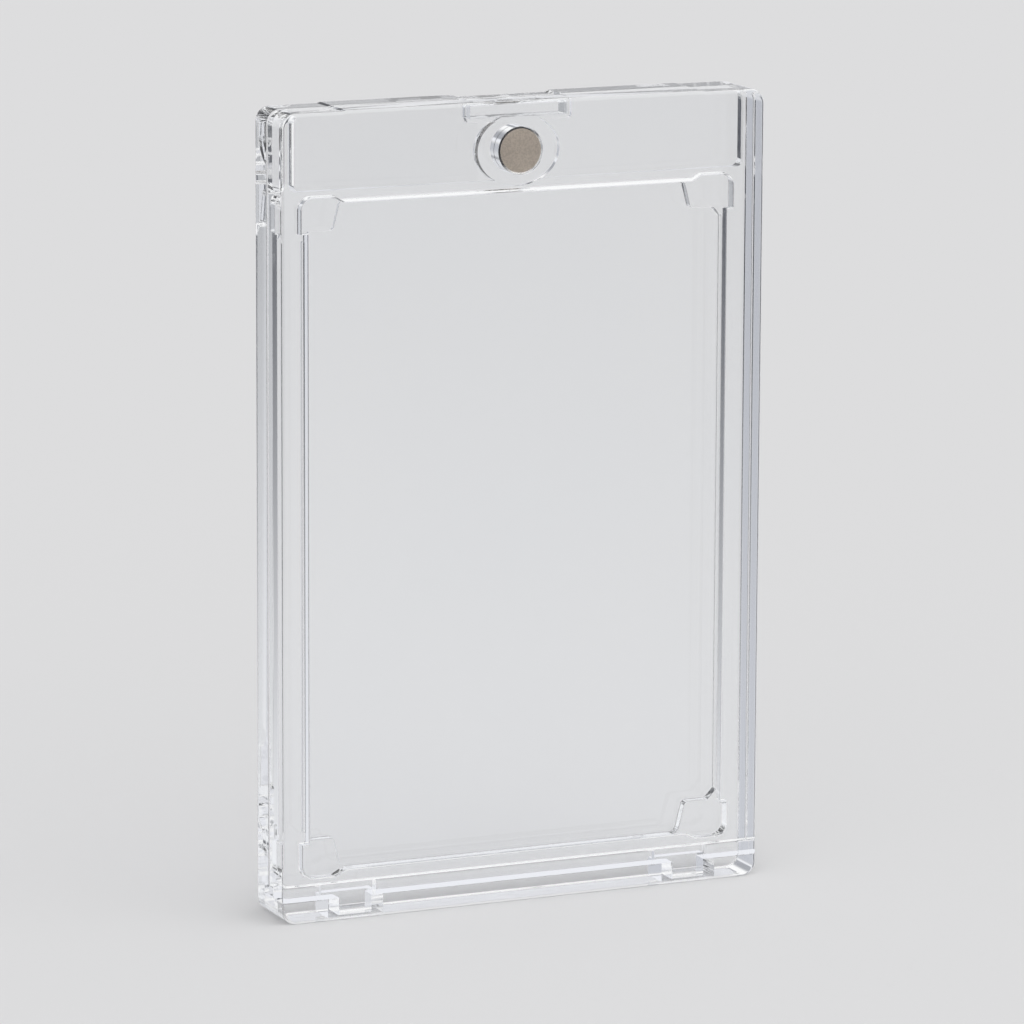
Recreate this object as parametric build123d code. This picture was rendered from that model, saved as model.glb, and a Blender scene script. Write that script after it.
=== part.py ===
"""Trading card display case: two clear moulded covers that shut on a card.

The front cover stands on a rail of the back cover, with two tabs in notches of the
rail, and tips forward about its lower front edge.  A disc magnet in each cover holds
the pair shut at the top.  Millimetres, X to the right, Y backwards, Z up, origin at
the middle of the underside.  The case stands on its lower edge and faces -Y.  A
depth is measured backwards from the front face, and every outline is drawn upright,
in X and Z, as it is seen from the front.
"""
import os
from math import radians, tan

from build123d import *

# Card space, measured at the front window and shared by the two covers
CARD_SPACE_WIDTH = 69.7
CARD_SPACE_HEIGHT = 103.3
CARD_SPACE_STEP = 0.3
CARD_SPACE_SLOPE = 5.0
CARD_SPACE_RIM_RADIUS = 0.2
CARD_SPACE_FLOOR_RADIUS = 0.3
FRONT_SHARE = 2.25
BACK_SHARE = 1.6

# Walls around the card space, and the header above it
SIDE_WALL = 5.15
BOTTOM_WALL = 7.1
HEADER_HEIGHT = 14.1
FRONT_WINDOW = 3.5
BACK_WINDOW = 3.2

# Edges: the front face is rounded most, and the edges that meet at the seam least
SEAM_GAP = 0.1
CORNER_RADIUS = 2.2
FRONT_EDGE_RADIUS = 0.6
BACK_EDGE_RADIUS = 0.3
SEAM_EDGE_RADIUS = 0.3

# Raised band along the middle of the top edge
BAND_WIDTH = 59.0
BAND_RISE = 0.15
BAND_RAMP = 0.6

# Corner pockets of the front cover, clear of the corners of the card
POCKET_REACH_SIDE = 1.15
POCKET_REACH_END = 0.9
POCKET_WIDTH = 4.4
POCKET_RAMP = 1.6
POCKET_HEIGHT = 4.7
POCKET_RADIUS = 2.0

# Corner lands of the back cover, which hold the card off its window
LAND_WIDTH = 5.4
LAND_FLARE = 1.3
LAND_CHAMFER = 1.5
LAND_HEEL_RADIUS = 0.8
LAND_TIP_RADIUS = 1.2

# Hollow header of the front cover: its walls slope out towards the seam, and its floor
# rises from both sides to the key
HEADER_SIDE_WALL = 2.55
HEADER_TOP_WALL = 0.75
HEADER_RIB = 1.65
HEADER_FRONT_WALL = 3.0
HEADER_KEY_DEPTH = 0.8
HEADER_RADIUS = 1.2
HEADER_SLOPE = 5.0

# Disc magnets and the oval key that carries the front one
MAGNET_DIAMETER = 7.15
MAGNET_THICKNESS = 2.0
MAGNET_CHAMFER = 0.2
MAGNET_DROP = 7.92
MAGNET_SINK = 0.45
MAGNET_SIDE_CLEARANCE = 0.15
MAGNET_SEAT_CLEARANCE = 0.05
KEY_WIDTH = 13.6
KEY_HEIGHT = 10.9
KEY_RISE = 0.5
KEY_CLEARANCE = 0.15

# Thumb notch in the middle of the top edge, across the seam
THUMB_WIDTH = 16.2
THUMB_DROP = 2.8
THUMB_FRONT_REACH = 1.0
THUMB_BACK_REACH = 2.45
THUMB_LIP_DROP = 0.35
THUMB_LIP_RAMP = 0.6
THUMB_WALL = 0.6

# Bottom rail of the back cover with a lip along it, and the tabs in its notches
RAIL_HEIGHT = 3.4
RAIL_CLEARANCE = 0.1
LIP_HEIGHT = 1.6
LIP_DEPTH = 1.5
LIP_EDGE_RADIUS = 0.25
NOTCH_MARGIN = 7.3
NOTCH_WIDTH = 9.1
NOTCH_FLOOR = 0.5
NOTCH_DEPTH = 8.0
TAB_WIDTH = 5.3
TAB_CLEARANCE = 0.2
TAB_RADIUS = 0.4

# A cutter passes this far beyond the face that it opens
OVERCUT = 1.0

CASE_WIDTH = CARD_SPACE_WIDTH + 2 * SIDE_WALL
CASE_HEIGHT = BOTTOM_WALL + CARD_SPACE_HEIGHT + HEADER_HEIGHT
FRONT_COVER_DEPTH = FRONT_WINDOW + FRONT_SHARE
BACK_COVER_FRONT = FRONT_COVER_DEPTH + SEAM_GAP
CASE_DEPTH = BACK_COVER_FRONT + BACK_SHARE + BACK_WINDOW
FRONT_COVER_BOTTOM = RAIL_HEIGHT + RAIL_CLEARANCE
LIP_TOP = RAIL_HEIGHT + LIP_HEIGHT
FOOT_DEPTH = FRONT_COVER_DEPTH - LIP_DEPTH
CARD_SPACE_TOP = BOTTOM_WALL + CARD_SPACE_HEIGHT
CARD_SPACE_MIDDLE = BOTTOM_WALL + CARD_SPACE_HEIGHT / 2
MAGNET_HEIGHT = CASE_HEIGHT - MAGNET_DROP
BORE_DIAMETER = MAGNET_DIAMETER + 2 * MAGNET_SIDE_CLEARANCE
KEY_END_DEPTH = FRONT_COVER_DEPTH + KEY_RISE
KEY_RECESS_DEPTH = KEY_END_DEPTH + KEY_CLEARANCE
FRONT_MAGNET_DEPTH = KEY_END_DEPTH - MAGNET_SINK - MAGNET_THICKNESS
BACK_MAGNET_DEPTH = KEY_RECESS_DEPTH + MAGNET_SEAT_CLEARANCE
THUMB_FRONT_DEPTH = FRONT_COVER_DEPTH - THUMB_FRONT_REACH
THUMB_BACK_DEPTH = BACK_COVER_FRONT + THUMB_BACK_REACH
NOTCH_MIDDLE = CASE_WIDTH / 2 - NOTCH_MARGIN - NOTCH_WIDTH / 2


def at_depth(depth):
    """Upright plane that faces forwards, this far behind the front face."""
    return Plane(origin=(0, depth - CASE_DEPTH / 2, 0), x_dir=(1, 0, 0), z_dir=(0, -1, 0))


def slab(outline, front, back, slope=0.0):
    """Solid of an upright outline between two depths, narrowed forwards by a slope."""
    return extrude(at_depth(back) * outline, back - front, taper=slope)


def both_sides(outline):
    """An upright outline and its mirror image across the middle of the case."""
    return outline + mirror(outline, Plane.YZ)


def rectangle(left, right, bottom, top):
    """Upright rectangle between two X and two Z positions."""
    return Pos((left + right) / 2, (bottom + top) / 2) * Rectangle(right - left, top - bottom)


def rounded(outline, spots, radius):
    """The outline with the corners nearest to the given spots rounded."""
    corners = [outline.vertices().sort_by_distance(Vector(*spot))[0] for spot in spots]
    return fillet(corners, radius)


def case_outline():
    """Outer outline: rounded corners and a band along the top."""
    half = CASE_WIDTH / 2
    shoulder = CASE_HEIGHT - BAND_RISE
    band = BAND_WIDTH / 2
    right = [(half, 0), (half, shoulder), (band + BAND_RAMP, shoulder), (band, CASE_HEIGHT)]
    left = [(-x, z) for x, z in reversed(right)]
    outline = Polygon(*right, *left, align=None)
    corners = [(half, 0), (half, shoulder), (-half, shoulder), (-half, 0)]
    return rounded(outline, corners, CORNER_RADIUS)


def shut_case():
    """Solid of the whole shut case, with the edges of its two faces rounded."""
    case = slab(case_outline(), 0, CASE_DEPTH)
    faces = case.faces().filter_by(Axis.Y).sort_by(Axis.Y)
    case = fillet(faces[0].edges(), FRONT_EDGE_RADIUS)
    faces = case.faces().filter_by(Axis.Y).sort_by(Axis.Y)
    return fillet(faces[-1].edges(), BACK_EDGE_RADIUS)


def above(height, depth):
    """Block that takes in all of the case above a height and ahead of a depth."""
    side = CASE_WIDTH / 2 + OVERCUT
    return slab(rectangle(-side, side, height, CASE_HEIGHT + OVERCUT), -OVERCUT, depth)


def front_blank():
    """Plate of the front cover with its foot ahead of the lip, and rounded seam edges."""
    blank = shut_case() & above(FRONT_COVER_BOTTOM, FRONT_COVER_DEPTH)
    foot = shut_case() & above(LIP_TOP + RAIL_CLEARANCE, FRONT_COVER_DEPTH)
    blank = foot + (blank & above(FRONT_COVER_BOTTOM, FOOT_DEPTH))
    faces = blank.faces().filter_by(Axis.Y).sort_by(Axis.Y)
    return fillet(faces[-1].edges(), SEAM_EDGE_RADIUS)


def back_blank():
    """Plate and rail of the back cover, with rounded edges at the seam and on the lip."""
    lip_front = FOOT_DEPTH + SEAM_GAP
    ridge = Vector(0, lip_front - CASE_DEPTH / 2, LIP_TOP)
    blank = shut_case() - above(RAIL_HEIGHT, lip_front)
    blank -= above(LIP_TOP, BACK_COVER_FRONT)
    seam = blank.faces().filter_by(Axis.Y).sort_by(Axis.Y)[2]
    blank = fillet(seam.edges().sort_by(Axis.Z)[1:], SEAM_EDGE_RADIUS)
    return fillet(blank.edges().filter_by(Axis.X).sort_by_distance(ridge)[0], LIP_EDGE_RADIUS)


def card_space():
    """Front cover's share of the card space, with walls that slope out to the seam."""
    grown = FRONT_SHARE * tan(radians(CARD_SPACE_SLOPE))
    half = CARD_SPACE_WIDTH / 2 + grown
    outline = rectangle(-half, half, BOTTOM_WALL - grown, CARD_SPACE_TOP + grown)
    return slab(outline, FRONT_WINDOW, FRONT_COVER_DEPTH, CARD_SPACE_SLOPE)


def corner_pockets():
    """Pockets that widen the front cover's share at the four corners of the card."""
    wall = CARD_SPACE_WIDTH / 2
    side = wall + POCKET_REACH_SIDE
    end = CARD_SPACE_TOP + POCKET_REACH_END
    sill = CARD_SPACE_TOP - POCKET_HEIGHT
    inner = wall - POCKET_WIDTH
    points = [(side, sill), (side, end), (inner, end), (inner - POCKET_RAMP, CARD_SPACE_TOP)]
    outline = Polygon(*points, (inner, sill), align=None)
    outline = rounded(outline, [(side, end)], POCKET_RADIUS)
    upper = slab(both_sides(outline), FRONT_WINDOW, FRONT_COVER_DEPTH + OVERCUT)
    lower = mirror(upper, Plane.XY.offset(CARD_SPACE_MIDDLE))
    return upper + lower


def card_recess():
    """Back cover's share of the card space, with a land left standing in each corner."""
    side = CARD_SPACE_WIDTH / 2 + CARD_SPACE_STEP
    end = CARD_SPACE_HEIGHT / 2 + CARD_SPACE_STEP
    sill = CARD_SPACE_HEIGHT / 2 - POCKET_HEIGHT
    heel = side - LAND_WIDTH
    tip = heel - LAND_FLARE
    quarter = [(side, sill - LAND_CHAMFER), (side - LAND_CHAMFER, sill), (heel, sill), (tip, end)]
    upper = quarter + [(-x, z) for x, z in reversed(quarter)]
    lower = [(-x, -z) for x, z in upper]
    outline = Polygon(*upper, *lower, align=None)
    outline = rounded(outline, [(x, z) for x in (tip, -tip) for z in (end, -end)], LAND_TIP_RADIUS)
    outline = rounded(outline, [(x, z) for x in (heel, -heel) for z in (sill, -sill)], LAND_HEEL_RADIUS)
    return slab(Pos(0, CARD_SPACE_MIDDLE) * outline, BACK_COVER_FRONT - OVERCUT, CASE_DEPTH - BACK_WINDOW)


def flat_face(cover, depth):
    """The upright flat face of a cover at this depth."""
    faces = cover.faces().filter_by(Axis.Y)
    return [face for face in faces if abs(face.center().Y + CASE_DEPTH / 2 - depth) < 0.01][0]


def round_card_space(cover, seam, window):
    """The cover with the card space's rim at the seam and its edge at the window rounded."""
    cover = fillet(flat_face(cover, seam).inner_wires()[0].edges(), CARD_SPACE_RIM_RADIUS)
    return fillet(flat_face(cover, window).outer_wire().edges(), CARD_SPACE_FLOOR_RADIUS)


def key_outline(clearance=0.0):
    """Oval around the magnets, widened by a clearance."""
    oval = Ellipse(KEY_WIDTH / 2 + clearance, KEY_HEIGHT / 2 + clearance)
    return Pos(0, MAGNET_HEIGHT) * oval


def magnet_bore(front, back):
    """Round bore for a magnet between two depths."""
    return slab(Pos(0, MAGNET_HEIGHT) * Circle(BORE_DIAMETER / 2), front, back)


def thumb_guard():
    """Upright outline of the wall that closes the header around the thumb notch."""
    half = THUMB_WIDTH / 2 + THUMB_WALL
    floor = CASE_HEIGHT - THUMB_DROP - THUMB_WALL
    return rounded(
        rectangle(-half, half, floor, CASE_HEIGHT), [(-half, floor), (half, floor)], THUMB_WALL
    )


def header_floor():
    """Block ahead of the hollow's floor, which rises from both side walls to the key."""
    half = CASE_WIDTH / 2
    low = HEADER_FRONT_WALL - CASE_DEPTH / 2
    high = FRONT_COVER_DEPTH - HEADER_KEY_DEPTH - CASE_DEPTH / 2
    right = [(half, -CASE_DEPTH), (half, low), (KEY_WIDTH / 2, high)]
    left = [(-x, y) for x, y in reversed(right)]
    return extrude(Polygon(*right, *left, align=None), CASE_HEIGHT)


def header_hollow():
    """Hollow of the header, open at the seam, around the oval key and the thumb notch."""
    half = CASE_WIDTH / 2 - HEADER_SIDE_WALL
    bottom = CARD_SPACE_TOP + HEADER_RIB
    outline = rectangle(-half, half, bottom, CASE_HEIGHT - HEADER_TOP_WALL)
    outline = fillet(outline.vertices(), HEADER_RADIUS)
    hollow = slab(outline, HEADER_FRONT_WALL, FRONT_COVER_DEPTH, HEADER_SLOPE) - header_floor()
    hollow -= slab(key_outline(), 0, KEY_END_DEPTH)
    hollow -= slab(thumb_guard(), 0, FRONT_COVER_DEPTH + OVERCUT)
    return Part() + [piece for piece in hollow.solids() if piece.volume > 1]


def thumb_notch():
    """Notch for a thumbnail across the seam, with a low lip behind it."""
    half = THUMB_WIDTH / 2
    floor = CASE_HEIGHT - THUMB_DROP
    notch = rectangle(-half, half, floor, CASE_HEIGHT + OVERCUT)
    lip_floor = CASE_HEIGHT - THUMB_LIP_DROP
    lip = Polygon(
        (THUMB_LIP_RAMP - half, lip_floor),
        (half - THUMB_LIP_RAMP, lip_floor),
        (half, CASE_HEIGHT),
        (half, CASE_HEIGHT + OVERCUT),
        (-half, CASE_HEIGHT + OVERCUT),
        (-half, CASE_HEIGHT),
        align=None,
    )
    lip_slab = slab(lip, THUMB_BACK_DEPTH, CASE_DEPTH + OVERCUT)
    return slab(notch, THUMB_FRONT_DEPTH, THUMB_BACK_DEPTH) + lip_slab


def tab_notches():
    """The two notches in the rail, open at the front, and at the top ahead of the seam."""
    left = NOTCH_MIDDLE - NOTCH_WIDTH / 2
    right = left + NOTCH_WIDTH
    low = rectangle(left, right, NOTCH_FLOOR, RAIL_HEIGHT)
    high = rectangle(left, right, NOTCH_FLOOR, LIP_TOP + OVERCUT)
    return slab(both_sides(low), -OVERCUT, NOTCH_DEPTH) + slab(both_sides(high), -OVERCUT, BACK_COVER_FRONT)


def tabs():
    """The two tabs under the front cover, rounded below."""
    half = TAB_WIDTH / 2
    bottom = NOTCH_FLOOR + TAB_CLEARANCE
    top = FRONT_COVER_BOTTOM + OVERCUT
    outline = rectangle(NOTCH_MIDDLE - half, NOTCH_MIDDLE + half, bottom, top)
    tab = slab(outline, 0, FOOT_DEPTH)
    tab = fillet(tab.edges().filter_by(Axis.X).sort_by(Axis.Z)[:2], TAB_RADIUS)
    return tab + mirror(tab, Plane.YZ)


def front_cover():
    """The cover that opens: window, hollow header, oval key, magnet bore and tabs."""
    cover = front_blank() + tabs()
    cover -= card_space()
    cover -= corner_pockets()
    cover = round_card_space(cover, FRONT_COVER_DEPTH, FRONT_WINDOW)
    cover -= header_hollow()
    cover += slab(key_outline(), FRONT_COVER_DEPTH - KEY_RISE, KEY_END_DEPTH)
    cover -= magnet_bore(FRONT_MAGNET_DEPTH - MAGNET_SEAT_CLEARANCE, KEY_END_DEPTH + OVERCUT)
    cover -= thumb_notch()
    return cover


def back_cover():
    """The cover that stands: window, rail, recess for the key and magnet bore."""
    seam = BACK_COVER_FRONT - OVERCUT
    bore_end = BACK_MAGNET_DEPTH + MAGNET_THICKNESS + MAGNET_SEAT_CLEARANCE
    cover = back_blank() - tab_notches()
    cover -= card_recess()
    cover = round_card_space(cover, BACK_COVER_FRONT, CASE_DEPTH - BACK_WINDOW)
    cover -= slab(key_outline(KEY_CLEARANCE), seam, KEY_RECESS_DEPTH)
    cover -= magnet_bore(seam, bore_end)
    cover -= thumb_notch()
    return cover


def magnet(front):
    """Disc magnet with chamfered rims, its front face at the given depth."""
    disc = slab(Pos(0, MAGNET_HEIGHT) * Circle(MAGNET_DIAMETER / 2), front, front + MAGNET_THICKNESS)
    return chamfer(disc.edges(), MAGNET_CHAMFER)


PIECES = {
    "front_cover": front_cover(),
    "back_cover": back_cover(),
    "front_magnet": magnet(FRONT_MAGNET_DEPTH),
    "back_magnet": magnet(BACK_MAGNET_DEPTH),
}

os.makedirs("parts", exist_ok=True)
for name, piece in PIECES.items():
    export_step(piece, f"parts/{name}.step")
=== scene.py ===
"""Card case dresser: finishes the clear covers and disc magnets of a packed card case."""
import math

import bpy
from mathutils import Matrix, Vector


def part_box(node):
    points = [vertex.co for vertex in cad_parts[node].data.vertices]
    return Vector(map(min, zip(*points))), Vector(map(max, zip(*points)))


bl_info = {
    "name": "Card Case Dresser",
    "version": (1, 0, 0),
    "blender": (4, 5, 0),
    "location": "View3D > Sidebar > Card Case",
    "description": "Finishes the clear covers and the disc magnets of a card case and lights them",
    "category": "Object",
}

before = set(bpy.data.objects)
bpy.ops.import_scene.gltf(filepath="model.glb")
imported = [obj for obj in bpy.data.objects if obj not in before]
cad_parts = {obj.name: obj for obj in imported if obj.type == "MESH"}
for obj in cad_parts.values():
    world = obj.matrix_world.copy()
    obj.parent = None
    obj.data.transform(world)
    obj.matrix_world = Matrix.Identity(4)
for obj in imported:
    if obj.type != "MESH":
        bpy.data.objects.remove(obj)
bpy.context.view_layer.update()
MAGNET_LOW, MAGNET_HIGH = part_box("front_magnet")

# Windows of both covers and the foot below them in metres, and how much more light the
# rim round the windows and the foot keep back
WINDOW_WIDTH = 0.0697
WINDOW_HEIGHT = 0.1033
WINDOW_MIDDLE = 0.05875
FOOT_TOP = (0.002, 0.008)
RIM_LOSS = 0.27
FOOT_LOSS = 0.4

# Clear plastic: its index, what a face lets through to a shadow, and the wave counts of
# its haze against those of its flow ripples
PLASTIC_INDEX = 1.49
FACE_PASSES = (0.965, 0.965, 0.97, 1)
CLOUD_WAVES = 0.4
SPECK_WAVES = 14
CLOUD_FROM, CLOUD_GAIN = 0.35, 0.5
SPECK_FROM, SPECK_GAIN = 0.62, 1.6
BUMP_STRENGTH = 0.35

# Plated disc.  The rim is a share of the radius.  The wall and the chamfer are told from
# the face by the square of the normal's part along the axis, and the chamfer's painted
# shade from its painted highlight by how far the normal points up rather than right.
RIM_FROM, RIM_TO = 0.86, 0.97
WALL_TILT = (0.05, 0.3)
CHAMFER_TILT = (0.6, 0.9)
CHAMFER_LIGHT_TURN = (-0.5, 0.3)
DULL_PATCHES = (0.3, 0.7)
RING_WAVES = 0.02
RING_WANDER = 5
PLATING_RELIEF = 0.000006
PATCH_RELIEF = 3
PATCH_DULLS, RING_DULLS, RIM_CLEARS = 0.8, 0.06, 0.35
PATCH_ROUGHNESS, RIM_POLISH = 0.16, 0.1

# Camera: where it stands, the way it looks, its level right-hand side and its roll
CAMERA_PLACE = Vector((-0.391218, -0.875716, 0.250618))
CAMERA_FORWARD = Vector((0.40020, 0.89551, -0.19470)).normalized()
CAMERA_RIGHT = Vector((0.91298, -0.40801, 0)).normalized()
CAMERA_ROLL = math.radians(0.253)

# Bounces of light, enough to pass every face of both covers
LIGHT_BOUNCES = 32

# Heights in the studio, as the sine of the angle above the horizon
FLOOR_LAMP_TOP = (-0.7, -0.5)
PANEL_FOOT = (-0.40, -0.30)
TABLE_FADE = (-0.28, -0.10)
SIDE_FADE = (-0.28, -0.14)
HORIZON = (0.10, 0.15)
CORNER_LAMP_FOOT = (0.33, 0.37)
CEILING = (0.55, 0.65)

# Directions round the studio, as the sine of the angle from straight ahead or behind
AHEAD_OR_BEHIND = (-0.1, 0.1)
TABLE_LEFT = (-0.1, 0.1)
TABLE_RIGHT = (0.46, 0.56)
CORNER_LAMP = (-0.2, 0.1)

# Daylight round the case: its level straight ahead, and how much more comes from the right
DAYLIGHT = 2
DAYLIGHT_LEAN = 0.1


# ---------------------------------------------------------------- shader maths


class Sock:
    """A shader socket with Python's arithmetic, each operator adding one Math node."""

    def __init__(self, tree, socket):
        self.tree = tree
        self.socket = socket

    def math(self, operation, *values, **settings):
        return self.tree.add("ShaderNodeMath", {"operation": operation, **settings}, *values)

    def __add__(self, other):
        return self.math("ADD", self, other)

    def __sub__(self, other):
        return self.math("SUBTRACT", self, other)

    def __rsub__(self, other):
        return self.math("SUBTRACT", other, self)

    def __mul__(self, other):
        return self.math("MULTIPLY", self, other)

    __radd__ = __add__
    __rmul__ = __mul__

    def clipped(self):
        return self.math("ADD", self, 0.0, use_clamp=True)

    def over(self, level):
        return self.math("GREATER_THAN", self, level)

    def sine(self):
        return self.math("SINE", self)

    def outside(self, half, blur=0.001):
        """0 where the value is nearer to 0 than half, and 1 beyond it."""
        return (self * self).step((half - blur) ** 2, (half + blur) ** 2)

    def step(self, low, high):
        """0 below low and 1 above high, with a smooth rise between them."""
        smooth = {"interpolation_type": "SMOOTHSTEP"}
        return self.tree.add("ShaderNodeMapRange", smooth, self, low, high)


class Tree:
    """The node tree of one material or world, started empty with its output node."""

    def __init__(self, owner, output="ShaderNodeOutputMaterial"):
        owner.use_nodes = True
        self.nodes = owner.node_tree.nodes
        self.links = owner.node_tree.links
        self.nodes.clear()
        self.output = self.nodes.new(output)

    def add(self, kind, settings=None, *values, out=0, **named):
        """New node of a kind: settings first, then values or links for its sockets."""
        node = self.nodes.new(kind)
        for name, value in (settings or {}).items():
            setattr(node, name, value)
        pairs = list(enumerate(values)) + [(k.replace("_", " "), v) for k, v in named.items()]
        for key, value in pairs:
            if isinstance(value, Sock):
                self.links.new(value.socket, node.inputs[key])
            elif value is not None:
                node.inputs[key].default_value = value
        return Sock(self, node.outputs[out])

    def blend(self, mask, low, high):
        """Colour that goes from low to high as the mask goes from 0 to 1."""
        node = self.nodes.new("ShaderNodeMix")
        node.data_type = "RGBA"
        self.links.new(mask.socket, node.inputs["Factor"])
        for name, value in (("A", low), ("B", high)):
            socket = next(s for s in node.inputs if s.name == name and s.type == "RGBA")
            if isinstance(value, Sock):
                self.links.new(value.socket, socket)
            else:
                socket.default_value = (*value, 1.0)
        return Sock(self, next(s for s in node.outputs if s.type == "RGBA"))

    def ramp(self, value, stops):
        """Colour that runs through the stops, pairs of a value from -1 to 1 and a colour."""
        ramp = self.add("ShaderNodeValToRGB", None, value * 0.5 + 0.5)
        elements = ramp.socket.node.color_ramp.elements
        elements.remove(elements[1])
        for place, colour in stops:
            element = elements.new(place * 0.5 + 0.5)
            element.color = (*colour, 1.0)
        elements.remove(elements[0])
        return ramp

    def parts(self, vector):
        """The three numbers of a vector."""
        node = self.nodes.new("ShaderNodeSeparateXYZ")
        self.links.new(vector.socket, node.inputs[0])
        return [Sock(self, socket) for socket in node.outputs]

    def length(self, vector, scale):
        """Length of a vector whose three numbers are first scaled."""
        scaled = self.add("ShaderNodeVectorMath", {"operation": "MULTIPLY"}, vector, scale)
        return self.add("ShaderNodeVectorMath", {"operation": "LENGTH"}, scaled, out="Value")

    def path(self, name):
        """One output of Light Path."""
        return self.add("ShaderNodeLightPath", None, out=name)

    def place(self):
        """The point of the surface in metres, in the frame that all the pieces share."""
        return self.add("ShaderNodeTexCoord", None, out="Object")

    def noise(self, vector, scale, detail):
        """Noise from 0 to 1 on a vector, with a scale in waves per unit."""
        return self.add("ShaderNodeTexNoise", None, Vector=vector, Scale=scale, Detail=detail)

    def bump(self, height, distance):
        """Bump whose full height is the distance in metres."""
        return self.add(
            "ShaderNodeBump", None, Strength=BUMP_STRENGTH, Distance=distance, Height=height
        )

    def finish(self, shader):
        self.links.new(shader.socket, self.output.inputs["Surface"])


# ---------------------------------------------------------------- settings


class CoverSettings(bpy.types.PropertyGroup):
    """Finish of the two clear covers."""

    tint: bpy.props.FloatVectorProperty(
        name="Tint", description="Colour of light that has passed through the plastic",
        subtype="COLOR", size=3, default=(0.985, 0.992, 1.0),
    )
    haze: bpy.props.FloatProperty(
        name="Haze", description="Roughness of the moulded faces where they are haziest",
        default=0.012, min=0.0, max=0.2, subtype="FACTOR",
    )
    ripple: bpy.props.FloatProperty(
        name="Ripple height", description="Height of the flow ripples left by moulding",
        default=0.000002, min=0.0, unit="LENGTH", precision=6,
    )
    ripple_length: bpy.props.FloatProperty(
        name="Ripple length", description="Distance from one flow ripple to the next",
        default=0.016, min=0.001, unit="LENGTH",
    )


class MagnetSettings(bpy.types.PropertyGroup):
    """Finish of the disc magnets."""

    face: bpy.props.FloatVectorProperty(
        name="Face", description="Colour of the plated faces", subtype="COLOR", size=3,
        default=(0.60, 0.51, 0.42),
    )
    shade: bpy.props.FloatVectorProperty(
        name="Shade", description="Colour of the plating where it is dullest", subtype="COLOR",
        size=3, default=(0.43, 0.36, 0.285),
    )
    # Painted highlight: colour of the chamfer where its face points down and right
    rim: bpy.props.FloatVectorProperty(
        name="Rim", description="Colour of the chamfer where it is worn bright", subtype="COLOR",
        size=3, default=(0.92, 0.89, 0.85),
    )
    # Painted shade: colour of the chamfer where its face points up and left
    chamfer_painted_shade: bpy.props.FloatVectorProperty(
        name="Groove", description="Colour of the chamfer where the bore shades it",
        subtype="COLOR", size=3, default=(0.03, 0.028, 0.028),
    )
    wall: bpy.props.FloatVectorProperty(
        name="Wall", description="Colour of the round wall inside the bore", subtype="COLOR",
        size=3, default=(0.34, 0.32, 0.30),
    )
    polish: bpy.props.FloatProperty(
        name="Roughness", description="Middle roughness of the plating", default=0.34, min=0.05,
        max=1.0, subtype="FACTOR",
    )
    mottle: bpy.props.FloatProperty(
        name="Mottle", description="Dull specks along one metre of the plating",
        default=4200.0, min=100.0,
    )
    grain: bpy.props.FloatProperty(
        name="Grain", description="Distance between the fine rings that turning leaves",
        default=0.00012, min=0.00002, unit="LENGTH", precision=6,
    )


class StudioSettings(bpy.types.PropertyGroup):
    """Floor, backdrop, light and camera."""

    backdrop: bpy.props.FloatVectorProperty(
        name="Backdrop", description="Colour of floor and backdrop", subtype="COLOR", size=3,
        default=(0.723, 0.723, 0.73),
    )
    panels: bpy.props.FloatVectorProperty(
        name="Panels", description="Light panels behind the case, as gloss mirrors them",
        subtype="COLOR", size=3, default=(0.78, 0.79, 0.83),
    )
    dim_panel: bpy.props.FloatVectorProperty(
        name="Dim panel", description="Panel behind the case on its dim side, as gloss mirrors it",
        subtype="COLOR", size=3, default=(0.67, 0.68, 0.71),
    )
    far_panel: bpy.props.FloatVectorProperty(
        name="Far panel", description="Outer part of the dim panel, as gloss mirrors it",
        subtype="COLOR", size=3, default=(0.54, 0.555, 0.60),
    )
    strip: bpy.props.FloatVectorProperty(
        name="Strip lamp", description="Strip lamp above the horizon, as gloss mirrors it",
        subtype="COLOR", size=3, default=(0.85, 0.86, 0.90),
    )
    gaps: bpy.props.FloatVectorProperty(
        name="Gaps", description="Dark room between the panels, as gloss mirrors it",
        subtype="COLOR", size=3, default=(0.05, 0.055, 0.07),
    )
    high: bpy.props.FloatVectorProperty(
        name="High wall", description="Wall between strip lamp and ceiling, as gloss mirrors it",
        subtype="COLOR", size=3, default=(0.38, 0.39, 0.42),
    )
    lamp: bpy.props.FloatVectorProperty(
        name="Lamp", description="Soft lamps overhead and at the lit side, as gloss mirrors them",
        subtype="COLOR", size=3, default=(1.0, 1.0, 1.0),
    )
    ahead_low: bpy.props.FloatVectorProperty(
        name="Ahead, low", description="Table close ahead of the case, as gloss mirrors it",
        subtype="COLOR", size=3, default=(0.95, 0.96, 0.98),
    )
    ahead_far: bpy.props.FloatVectorProperty(
        name="Ahead, far", description="Dim room ahead of the case, as gloss mirrors it",
        subtype="COLOR", size=3, default=(0.42, 0.43, 0.45),
    )
    floor_size: bpy.props.FloatProperty(
        name="Floor size", description="Side of the square floor", default=6.0, min=1.0,
        unit="LENGTH",
    )
    lens: bpy.props.FloatProperty(
        name="Lens", description="Focal length of the camera", default=223.84, min=10,
        unit="CAMERA",
    )


# ---------------------------------------------------------------- materials


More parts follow.
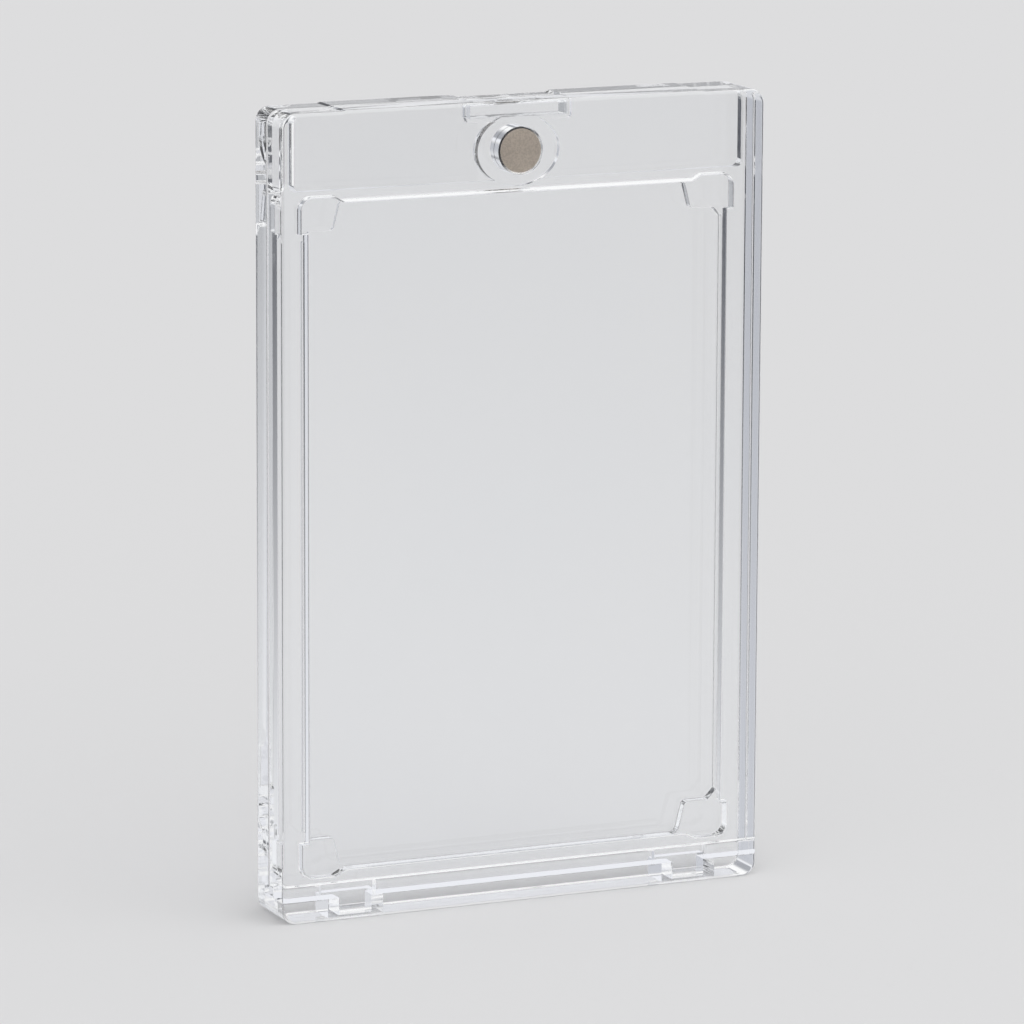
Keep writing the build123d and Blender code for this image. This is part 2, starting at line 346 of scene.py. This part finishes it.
def clear_plastic(settings):
    """Clear moulded plastic: faint flow ripples, haze in clouds and specks, light shadows.

    Haze is what cloud and speck noise have above their thresholds.  To shadow and diffuse
    rays each face is a clear sheet, and rim and foot keep back more than the windows do.
    """
    material = bpy.data.materials.new("clear_plastic_finish")
    t = Tree(material)
    place = t.place()
    waves = 1.0 / settings.ripple_length
    flow = t.noise(place, waves, 2.0)
    cloud = t.noise(place, waves * CLOUD_WAVES, 4.0)
    speck = t.noise(place, waves * SPECK_WAVES, 2.0)
    haze_and_painted_light = (cloud - CLOUD_FROM).clipped() * CLOUD_GAIN + (speck - SPECK_FROM).clipped() * SPECK_GAIN
    bump = t.bump(flow, settings.ripple)
    plastic = t.add(
        "ShaderNodeBsdfPrincipled", None,
        Base_Color=t.blend(cloud, settings.tint, (1.0, 1.0, 1.0)),
        Roughness=haze_and_painted_light * settings.haze,
        IOR=PLASTIC_INDEX,
        Transmission_Weight=1.0,
        Normal=bump,
    )
    clear = t.add("ShaderNodeBsdfTransparent", None, FACE_PASSES)
    across, _, up = t.parts(place)
    beside = across.outside(WINDOW_WIDTH / 2)
    over = (up - WINDOW_MIDDLE).outside(WINDOW_HEIGHT / 2)
    rim = (beside + over).clipped()
    foot = 1 - up.step(*FOOT_TOP)
    passes = 1 - rim * RIM_LOSS - foot * FOOT_LOSS
    soft = (t.path("Is Shadow Ray") + t.path("Is Diffuse Ray")).clipped()
    t.finish(t.add("ShaderNodeMixShader", None, soft * passes, plastic, clear))
    return material


def plated_nickel(settings):
    """Nickel plating on a turned disc: fine rings, dull patches and a brighter rim.

    The rings are a sine of the distance from the axis, shaken a little by noise.  The
    chamfer has a painted highlight where its face points down and right, and painted shade
    where it points up and left, going round the disc.
    """
    material = bpy.data.materials.new("nickel_finish")
    t = Tree(material)
    middle = [(a + b) / 2 for a, b in zip(MAGNET_LOW, MAGNET_HIGH)]
    radius = (MAGNET_HIGH[0] - MAGNET_LOW[0]) / 2
    location = (-middle[0], 0, -middle[2])
    around = t.add("ShaderNodeMapping", {"vector_type": "POINT"}, t.place(), Location=location)
    reach = t.length(around, (1, 0, 1))
    rings = t.noise(around, RING_WAVES / settings.grain, 2.0)
    turned = (reach * (math.tau / settings.grain) + rings * RING_WANDER).sine()
    patches = t.noise(around, settings.mottle, 4.0)
    rim = (reach * (1 / radius)).step(RIM_FROM, RIM_TO)
    across, turn, up = t.parts(t.add("ShaderNodeTexCoord", None, out="Normal"))
    facing = turn * turn
    wall = 1 - facing.step(*WALL_TILT)
    edge = 1 - facing.step(*CHAMFER_TILT)
    # Painted highlight and painted shade on the chamfer, by which way its face points
    haze_and_painted_light = t.blend((up - across).step(*CHAMFER_LIGHT_TURN), settings.rim, settings.chamfer_painted_shade)
    dull = patches.step(*DULL_PATCHES) * PATCH_DULLS + turned * RING_DULLS - rim * RIM_CLEARS
    plate = t.blend(dull.clipped(), settings.face, settings.shade)
    bump = t.bump(turned + patches * PATCH_RELIEF, PLATING_RELIEF)
    rough = patches * PATCH_ROUGHNESS + settings.polish - PATCH_ROUGHNESS / 2
    metal = t.add(
        "ShaderNodeBsdfPrincipled", None,
        Base_Color=t.blend(wall, t.blend(edge, plate, haze_and_painted_light), settings.wall),
        Roughness=rough - rim * RIM_POLISH,
        Metallic=1.0,
        Normal=bump,
    )
    t.finish(metal)
    return material


# ---------------------------------------------------------------- studio


def aim_camera(settings):
    """Camera whose axes are its right-hand side, its top and its back, turned by the roll."""
    cam = bpy.data.cameras.new("camera")
    cam.lens = settings.lens
    cam.sensor_width = 36
    cam.clip_start = 0.01
    camera = bpy.data.objects.new("camera", cam)
    bpy.context.scene.collection.objects.link(camera)
    up = CAMERA_RIGHT.cross(CAMERA_FORWARD)
    across = CAMERA_RIGHT * math.cos(CAMERA_ROLL) + up * math.sin(CAMERA_ROLL)
    upward = up * math.cos(CAMERA_ROLL) - CAMERA_RIGHT * math.sin(CAMERA_ROLL)
    matrix = Matrix((across, upward, -CAMERA_FORWARD)).transposed().to_4x4()
    matrix.translation = CAMERA_PLACE
    camera.matrix_world = matrix
    bpy.context.scene.camera = camera


def mirrored(t):
    """1 for a ray that has been mirrored by the case on its way, and 0 for any other."""
    return t.path("Glossy Depth").over(0.5) * (1 - t.path("Is Camera Ray"))


def lay_floor(settings):
    """Square floor, which mirrored rays pass so that they end in the studio around it."""
    half = settings.floor_size / 2
    mesh = bpy.data.meshes.new("floor")
    corners = [(-half, -half, 0), (half, -half, 0), (half, half, 0), (-half, half, 0)]
    mesh.from_pydata(corners, [], [(0, 1, 2, 3)])
    floor = bpy.data.objects.new("floor", mesh)
    bpy.context.scene.collection.objects.link(floor)
    material = bpy.data.materials.new("floor")
    t = Tree(material)
    plain = t.add(
        "ShaderNodeBsdfPrincipled", None,
        Base_Color=(*settings.backdrop, 1), Roughness=1.0, Specular_IOR_Level=0.0,
    )
    passed = t.add("ShaderNodeBsdfTransparent")
    t.finish(t.add("ShaderNodeMixShader", None, mirrored(t), plain, passed))
    mesh.materials.append(material)


def studio_light(t, settings):
    """What mirrored rays see: the studio by compass angle and by height.

    Behind the case stand light panels with dark room between them.  Ahead of it the
    table darkens away from the case.  A strip lamp runs above the horizon, and a soft
    lamp hangs overhead.
    """
    direction = t.add("ShaderNodeTexCoord", None, out="Generated")
    height = t.parts(direction)[2]
    level = t.add("ShaderNodeVectorMath", {"operation": "MULTIPLY"}, direction, (1, 1, 0))
    level = t.add("ShaderNodeVectorMath", {"operation": "NORMALIZE"}, level)
    across, back, _ = t.parts(level)
    dark, dim, far, light, lamp = (
        settings.gaps, settings.dim_panel, settings.far_panel, settings.panels, settings.lamp
    )
    behind = t.ramp(across, (
        (-0.70, dark), (-0.64, light), (-0.53, light), (-0.49, far), (-0.43, far), (-0.39, dim),
        (-0.33, dim), (-0.26, dark), (0.22, dark), (0.30, light), (0.47, light), (0.52, lamp),
        (0.65, lamp), (0.69, dark), (0.78, dark), (0.84, lamp),
    ))
    behind = t.blend(height.step(*PANEL_FOOT), dim, behind)
    table = t.blend(height.step(*TABLE_FADE), settings.ahead_low, settings.ahead_far)
    sides = t.blend(height.step(*SIDE_FADE), settings.ahead_low, dark)
    straight = across.step(*TABLE_LEFT) - across.step(*TABLE_RIGHT)
    around = t.blend(back.step(*AHEAD_OR_BEHIND), t.blend(straight, sides, table), behind)
    around = t.blend(height.step(*FLOOR_LAMP_TOP), lamp, around)
    above = t.ramp(height, (
        (0.15, settings.backdrop), (0.19, settings.strip), (0.26, settings.strip),
        (0.29, settings.high),
    ))
    corner = t.blend(across.step(*CORNER_LAMP), settings.high, lamp)
    above = t.blend(height.step(*CORNER_LAMP_FOOT), above, corner)
    above = t.blend(height.step(*CEILING), above, lamp)
    return t.blend(height.step(*HORIZON), around, above)


def light_world(settings):
    """Light that falls most from ahead, the backdrop for the eye, the studio for mirrored rays."""
    world = bpy.data.worlds.new("studio")
    bpy.context.scene.world = world
    t = Tree(world, "ShaderNodeOutputWorld")
    across, back, _ = t.parts(t.add("ShaderNodeTexCoord", None, out="Generated"))
    ahead = (0.5 - back * 0.5) + across * DAYLIGHT_LEAN
    daylight = t.blend(ahead.clipped(), (0, 0, 0), (DAYLIGHT, DAYLIGHT, DAYLIGHT))
    glow = t.add("ShaderNodeBackground", None, daylight, 1.0)
    backdrop = t.add("ShaderNodeBackground", None, (*settings.backdrop, 1), 1.0)
    studio = t.add("ShaderNodeBackground", None, studio_light(t, settings), 1.0)
    passed = t.path("Is Camera Ray") + t.path("Is Transmission Ray")
    seen = (passed + t.path("Is Glossy Ray")).clipped()
    plain = t.add("ShaderNodeMixShader", None, seen, glow, backdrop)
    t.finish(t.add("ShaderNodeMixShader", None, mirrored(t), plain, studio))


# ---------------------------------------------------------------- operators


class CASE_OT_clear_covers(bpy.types.Operator):
    """Give the front and the back cover their clear moulded plastic"""

    bl_idname = "case.clear_covers"
    bl_label = "Finish the covers"

    def execute(self, context):
        finish = clear_plastic(context.scene.case_covers)
        for name in ("front_cover", "back_cover"):
            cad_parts[name].material_slots[0].material = finish
        return {"FINISHED"}


class CASE_OT_magnets(bpy.types.Operator):
    """Give both disc magnets their nickel plating"""

    bl_idname = "case.magnets"
    bl_label = "Finish the magnets"

    def execute(self, context):
        finish = plated_nickel(context.scene.case_magnets)
        for name in ("front_magnet", "back_magnet"):
            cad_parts[name].material_slots[0].material = finish
        return {"FINISHED"}


class CASE_OT_studio(bpy.types.Operator):
    """Lay the floor, light the studio and aim the camera"""

    bl_idname = "case.studio"
    bl_label = "Set the studio"

    def execute(self, context):
        settings = context.scene.case_studio
        context.scene.view_settings.view_transform = "Standard"
        for kind in ("max", "transmission", "glossy"):
            setattr(context.scene.cycles, kind + "_bounces", LIGHT_BOUNCES)
        context.scene.cycles.transparent_max_bounces = LIGHT_BOUNCES
        aim_camera(settings)
        lay_floor(settings)
        light_world(settings)
        return {"FINISHED"}


class CASE_PT_dresser(bpy.types.Panel):
    """Sidebar panel with the settings and the operators of the dresser"""

    bl_idname = "CASE_PT_dresser"
    bl_label = "Card Case"
    bl_space_type = "VIEW_3D"
    bl_region_type = "UI"
    bl_category = "Card Case"

    def draw(self, context):
        scene = context.scene
        for name, operator in zip(SETTINGS, OPERATORS):
            group = getattr(scene, name)
            box = self.layout.box()
            for setting in group.__annotations__:
                box.prop(group, setting)
            box.operator(operator.bl_idname)


SETTINGS = {
    "case_covers": CoverSettings, "case_magnets": MagnetSettings, "case_studio": StudioSettings,
}
OPERATORS = (CASE_OT_clear_covers, CASE_OT_magnets, CASE_OT_studio)
CLASSES = (*SETTINGS.values(), *OPERATORS, CASE_PT_dresser)


def register():
    for cls in CLASSES:
        bpy.utils.register_class(cls)
    for name, cls in SETTINGS.items():
        setattr(bpy.types.Scene, name, bpy.props.PointerProperty(type=cls))


def unregister():
    for name in SETTINGS:
        delattr(bpy.types.Scene, name)
    for cls in reversed(CLASSES):
        bpy.utils.unregister_class(cls)


def main():
    register()
    bpy.ops.case.studio()
    bpy.ops.case.clear_covers()
    bpy.ops.case.magnets()


if __name__ == "__main__":
    main()
